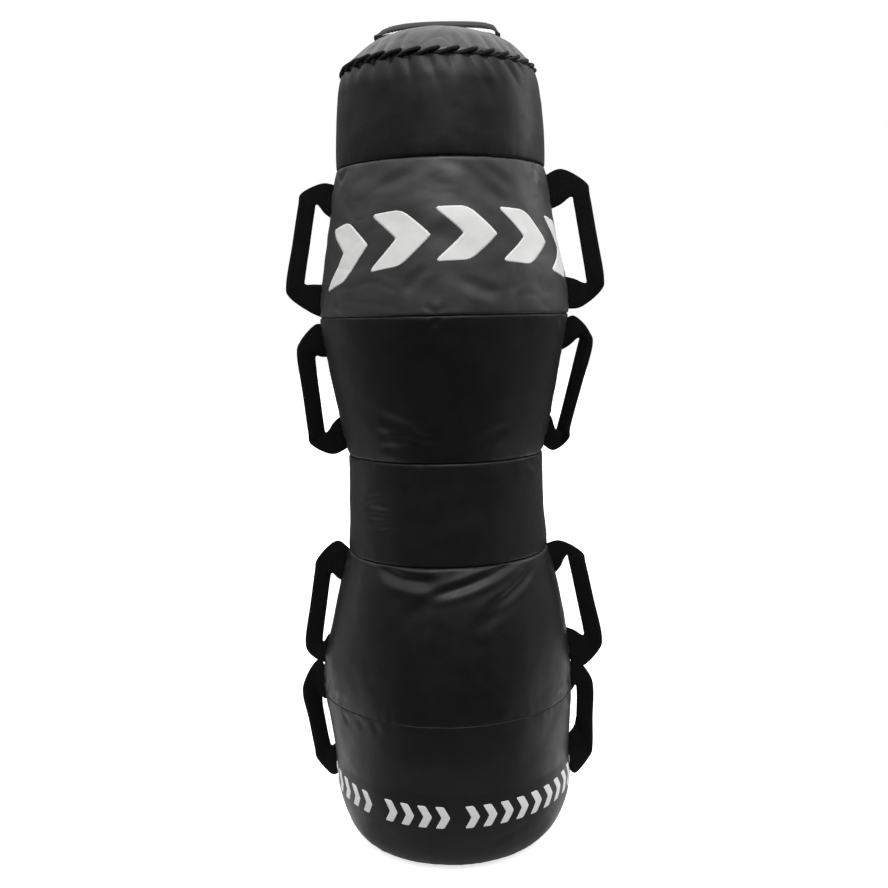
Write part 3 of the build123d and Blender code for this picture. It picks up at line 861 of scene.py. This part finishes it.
def side_grip(name, side, top, bottom, grip_top, grip_bottom, twist, gap_top, gap_bottom, rise, sag, sway):
    """A sewn webbing grip: flat ends in the seam, mitred into a strap folded in two."""
    turn = radians(abs(twist))
    half = GRIP_HALF_WIDTH * cos(turn) + GRIP_HALF_THICK * sin(turn)
    (gx, gz), (bx, bz) = grip_top, grip_bottom
    reach = WEBBING / 2
    long = hypot(gx - bx, gz - bz)
    nx, nz = (gz - bz) / long, -(gx - bx) / long

    def seam_x(z):
        return float(cover_radius(z) + lumps(side * 90, z)) - SEWN_DEPTH

    def inner_edge(z):
        return gx + (bx - gx) * (gz - z) / (gz - bz) - half / nx

    middle_z = min(max((gz + bz) / 2, gap_bottom + 0.020), gap_top - 0.020)
    outer = [
        (seam_x(top + reach), top + reach),
        (mixed(seam_x(top + reach), gx, 0.50), top + reach + rise * 1.1),
        (gx + 0.55 * half, gz + 0.016 + 0.3 * rise),
        (gx + half * nx, gz + half * nz - 0.004),
        ((gx + bx) / 2 + half * nx, (gz + bz) / 2 + half * nz),
        (bx + half * nx, bz + half * nz + 0.004),
        (bx + 0.68 * half, bz - 0.016 - 0.2 * sag),
        (mixed(seam_x(bottom - reach), bx, 0.55), bottom - reach - sag),
        (seam_x(bottom - reach), bottom - reach),
    ]
    inner = [
        (seam_x(top - reach), top - reach),
        (mixed(seam_x(top - reach), gx - half, 0.50), mixed(top - reach, gap_top, 0.42)),
        (inner_edge(gap_top) - 0.0016, gap_top),
        (inner_edge(gap_top - 0.012), gap_top - 0.012),
        (inner_edge(middle_z), middle_z),
        (inner_edge(gap_bottom + 0.012), gap_bottom + 0.012),
        (inner_edge(gap_bottom) - 0.0016, gap_bottom),
        (mixed(seam_x(bottom + reach), bx - half, 0.50), mixed(bottom + reach, gap_bottom, 0.42)),
        (seam_x(bottom + reach), bottom + reach),
    ]
    out_line = catmull([(side * x, 0, z) for x, z in outer], GRIP_ROWS)
    in_line = catmull([(side * x, 0, z) for x, z in inner], GRIP_ROWS)
    share = np.linspace(0, 1, GRIP_ROWS)
    grip = smooth_step((share - 0.17) / 0.16) * smooth_step((0.83 - share) / 0.16)
    centre = (out_line + in_line) / 2
    centre[:, 1] += sway * np.sin(pi * share) ** 2
    centre[:, 1] += 0.0011 * rough(centre, 0.03, 70) * grip
    lean = radians(twist * side) * grip
    wide = out_line - in_line
    half_widths = np.linalg.norm(wide, axis=1) / 2
    wide /= 2 * half_widths[:, None]
    half_widths = (half_widths - GRIP_HALF_THICK * np.sin(np.abs(lean))) / np.maximum(np.cos(lean), 0.5)
    depthwise = np.tile((0.0, 1.0, 0.0), (GRIP_ROWS, 1))
    turned = wide * np.cos(lean)[:, None] + depthwise * np.sin(lean)[:, None]
    thick = depthwise * np.cos(lean)[:, None] - wide * np.sin(lean)[:, None]
    half_thick = mixed(WEB_HALF_THICK, GRIP_HALF_THICK, grip)

    sections = np.array([
        web_section(centre[k], turned[k], thick[k], half_widths[k], half_thick[k], GRIP_GROOVE * grip[k])
        for k in range(GRIP_ROWS)
    ])
    web = tube(sections, lengths(centre), WEB_GIRTH)

    stitches = []
    middle = (share > 0.30) & (share < 0.70)
    for face in (-1, 1):
        for edge in (-0.72, 0.74):
            line = centre + turned * (edge * half_widths)[:, None]
            line = line + thick * (face * half_thick * 0.93)[:, None]
            stitches += stitch_row(line[middle], thick[middle] * face)
        for end in (share < 0.07, share > 0.93):
            pick = np.flatnonzero(end)
            k = pick[-1] if pick[0] == 0 else pick[0]
            span = np.linspace(-0.80, 0.80, 24)[:, None]
            line = centre[k] + turned[k] * half_widths[k] * span + thick[k] * (face * half_thick[k] * 0.95)
            stitches += stitch_row(line, np.tile(thick[k] * face, (24, 1)))
    node = f"handle_{name}"
    obj = sewn_webbing(node, web, stitches, GRIP_WEB, None)
    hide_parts(node)
    joint = next(j for j in frame["joints"] if j["child"] == node)
    pos, axis = np.array(joint["pos_m"]), np.array(joint["axis"])
    away = np.cross(axis, (0, 1, 0))
    away *= side * np.sign(away[0]) / np.linalg.norm(away)
    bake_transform(obj)


def top_strap():
    """Flat webbing bridge over the cap, its ends turned under and sewn down."""
    half, _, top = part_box("top_handle")[1]
    crest = top - WEB_HALF_THICK - 0.0019

    def on_cap(x, lift=0.0021):
        return float(cap_height(abs(x))) + lift

    sewn_end = [
        (0.050, on_cap(0.050)),
        (0.064, on_cap(0.064)),
        (0.078, on_cap(0.078)),
        (half - 0.0040, on_cap(half) + 0.0022),
        (half - 0.0014, on_cap(half) + 0.0068),
    ]
    # Distance from the middle, and drop below the crest.
    left = [(half - 0.0050, 0.0140), (0.075, 0.0084), (0.054, 0.0035), (0.028, 0.0009)]
    right = [(half - 0.0034, 0.0118), (0.080, 0.0058), (0.059, 0.0020), (0.030, 0.0005)]
    left, right = ([(x, crest - drop) for x, drop in way] for way in (left, right))
    line = [(-x, z) for x, z in sewn_end + left] + [(0.0, crest)] + (sewn_end + right)[::-1]
    line = catmull([(x, 0, z) for x, z in line], STRAP_ROWS)
    tangent = directions(line)
    wave = 0.0007 * rough(line, 0.03, 80)
    upper = smooth_step((line[:, 2] - crest + 0.022) / 0.012)
    tilt = radians(22) * upper
    droop = 0.0018 + 0.0008 * smooth_step(1 - np.abs(line[:, 0]) / 0.085) + wave
    sections = []
    for k in range(STRAP_ROWS):
        across = np.array([0, cos(tilt[k]), sin(tilt[k])])
        thick = WEB_HALF_THICK * (2.2 - 1.2 * upper[k])     # the sewn ends are doubled
        ring = web_section(line[k], across, np.cross(tangent[k], across), WEBBING / 2, thick, 0)
        ring[:, 2] -= (ring[:, 1] / (WEBBING / 2)) ** 2 * droop[k]
        sections.append(ring)
    length = lengths(line)
    web = tube(np.array(sections), length, WEB_GIRTH)
    stitches = []
    pick = (length > 0.22 * length[-1]) & (length < 0.78 * length[-1])
    for edge in (-0.86, 0.86):
        for face in (-1, 1):
            across = np.stack([0 * tilt, np.cos(tilt), np.sin(tilt)], axis=-1)
            up = np.cross(tangent, across)
            row = line + across * (edge * WEBBING / 2) + up * (face * WEB_HALF_THICK)
            row[:, 2] -= (row[:, 1] / (WEBBING / 2)) ** 2 * droop
            stitches += stitch_row(row[pick], up[pick] * face)
    obj = sewn_webbing("top_handle", web, stitches, STRAP_WEB, "bag")
    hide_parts("top_handle")


# ---------------- print
def chevron(angle, band, wide, tall, thick, ring):
    """A plain arrowhead of ink lying on the cover, a closed film about 0.3 mm proud."""
    u, v = np.meshgrid(np.linspace(0, 1, 13), np.linspace(0, 1, 41))
    tip = np.minimum(v, 1 - v) * tall
    rounding = thick * 0.16
    pull = rounding - np.sqrt(np.maximum(rounding**2 - np.maximum(rounding - tip, 0) ** 2, 0))
    bar = pull + (thick - 2 * pull) * u
    x = bar + (wide - thick) * (1 - np.abs(2 * v - 1) ** 1.12) - wide / 2
    turn = angle + np.degrees(x / cover_radius(band[1]))
    centre, height, bend, growth = band
    away = ((turn - centre) / 60) ** 2
    level = height + bend * away + (v - 0.5) * tall * (1 + growth * away)
    return [cover_point(turn, level, ring, -lift) for lift in (0.00028, -0.0004)]


def print_row(name, places, band, wide, tall, thick, ring):
    """A row of arrowheads. band is its middle angle, height, bend at 60 degrees from there, and growth."""
    parts, rims = [], []
    for angle in places:
        outer, inner = chevron(angle, band, wide, tall, thick, ring)
        vertices, faces = shell(outer, inner, False)
        rims += [k >= 2 * (outer.shape[0] - 1) * (outer.shape[1] - 1) for k in range(len(faces))]
        parts.append((vertices, faces, np.zeros((4 * len(faces), 2))))
    vertices, faces, uv = joined(parts)
    obj = make_object(name, vertices, faces, [INK], "bag", uv)
    obj.data.polygons.foreach_set("use_smooth", ~np.array(rims))


# ---------------- build
for ring_name in RINGS:
    for half_name in ("front", "back"):
        cover_panel(ring_name, half_name)
    foam_ring(ring_name)
top_cap()
top_pad()
dust_flap()
lacing()
for grip_spec in HANDLES:
    side_grip(*grip_spec)
top_strap()
print_row("shoulder_print", BIG_ROW, (13, 0.9165, -0.0175, 0.12), 0.090, 0.073, 0.049, "shoulder")
print_row("base_print", SMALL_ROW, (8, 0.0970, 0.0030, 0.0), 0.0215, 0.034, 0.0125, "base")
for node_name, finish in INNER.items():
    for slot_item in frame["nodes"][node_name].material_slots:
        slot_item.material = finish

# ---------------- stage
def seen_or_reflected(s, seen, reflected):
    """What the camera sees directly, and what the object sees in its surroundings."""
    return s.add("MixShader", i0=s.add("LightPath", "Is Camera Ray"), i1=reflected, i2=seen)


def side_share(s, direction):
    """0 towards the front of a direction in plan, 1 at the sides, and falling again behind."""
    back = s.add("SeparateXYZ", "Y", Vector=direction)
    rising, falling = s.eased(back, -0.86, 0.02, 0.0, 1.0), s.eased(back, 0.85, 1.0, 1.0, 0.45)
    return s.math("MULTIPLY", rising, falling)


def floor():
    """Pale floor. It lights the object from the sides and takes its soft shadow."""
    s = Shader("floor_white", (0.90, 0.90, 0.90), 0.9, 0.1)
    s.set(s.main, "Base Color", s.tint(s.noise(3, 3, 0.5), (0.88, 0.88, 0.88), (0.90, 0.90, 0.90)))
    white = s.add("Emission", Color=(1, 1, 1, 1), Strength=0.72)
    seen = s.add("AddShader", i0=s.main.outputs[0], i1=white)
    flat = s.vector("MULTIPLY", s.place, (1, 1, 0))
    reach, way = s.vector("LENGTH", flat, out="Value"), s.vector("NORMALIZE", flat)
    near, under = s.eased(reach, 0.9, 1.7, 1.0, 0.16), s.eased(reach, 0.30, 0.75, 0.40, 0.04)
    sides = s.math("MULTIPLY", s.math("MULTIPLY", side_share(s, way), near), 1.15)
    glow = s.add("Emission", Strength=s.math("MAXIMUM", sides, under))
    s.set(s.tree.nodes["Material Output"], "Surface", seen_or_reflected(s, seen, glow))
    corners = [(x, y, 0) for y in (-14, 14) for x in (-14, 14)]
    obj = make_object("floor", corners, grid_faces(2, 2, False, flip=True), [s.material], None)


def surroundings():
    """White backdrop to the camera; to the object a dark front, dim sides and a pale ceiling."""
    world = bpy.data.worlds.new("studio")
    world.use_nodes = True
    s = Nodes(world.node_tree)
    way = s.add("TexCoord", "Generated")
    height, across = s.add("SeparateXYZ", "Z", Vector=way), s.add("SeparateXYZ", "X", Vector=way)
    above = s.eased(height, 0.24, 0.62, 0.0, 1.15)
    sides = s.math("MULTIPLY", side_share(s, way), s.eased(across, 0.0, 0.6, 0.16, 0.26))
    around = s.tree.nodes["Background"]
    s.set(around, "Strength", s.math("ADD", s.math("ADD", above, sides), 0.05))
    s.set(around, "Color", (1, 1, 1, 1))
    white = s.add("Background", Color=(1, 1, 1, 1), Strength=1.0)
    s.set(s.tree.nodes["World Output"], "Surface", seen_or_reflected(s, white, around.outputs[0]))
    bpy.context.scene.world = world


def soft_light(name, place, target, size, radiance):
    """Rectangular soft box of a given brightness, aimed at a point."""
    data = bpy.data.lights.new(name, "AREA")
    data.shape, data.size, data.size_y = "RECTANGLE", *size
    data.energy = radiance * pi * size[0] * size[1]
    obj = bpy.data.objects.new(name, data)
    obj.location = place
    obj.rotation_euler = (Vector(target) - Vector(place)).to_track_quat("-Z", "Y").to_euler()
    bpy.context.scene.collection.objects.link(obj)


def camera():
    """Standing eye view from the front, slightly downwards and not quite level."""
    data = bpy.data.cameras.new("camera")
    data.lens, data.sensor_width = 41.85, 36.0
    obj = bpy.data.objects.new("camera", data)
    pan, down, roll = 0.00167, 0.12314, -0.02126       # radians
    look = Matrix.Rotation(pan, 4, "Z") @ Matrix.Rotation(pi / 2 - down, 4, "X")
    look = look @ Matrix.Rotation(roll, 4, "Z")
    obj.matrix_world = Matrix.Translation((0, -1.575, 0.8061)) @ look
    bpy.context.scene.collection.objects.link(obj)
    bpy.context.scene.camera = obj


floor()
surroundings()
camera()
soft_light("front_high", (0.25, -2.0, 2.95), (0, 0, 0.9), (2.2, 1.1), 4.5)
soft_light("left_low", (-2.1, 0.7, 0.42), (0, 0, 0.4), (0.7, 0.5), 0.8)
soft_light("right_high", (2.1, 0.5, 1.70), (0, 0, 1.1), (0.9, 0.8), 2.5)
bpy.context.scene.view_settings.view_transform = "Standard"
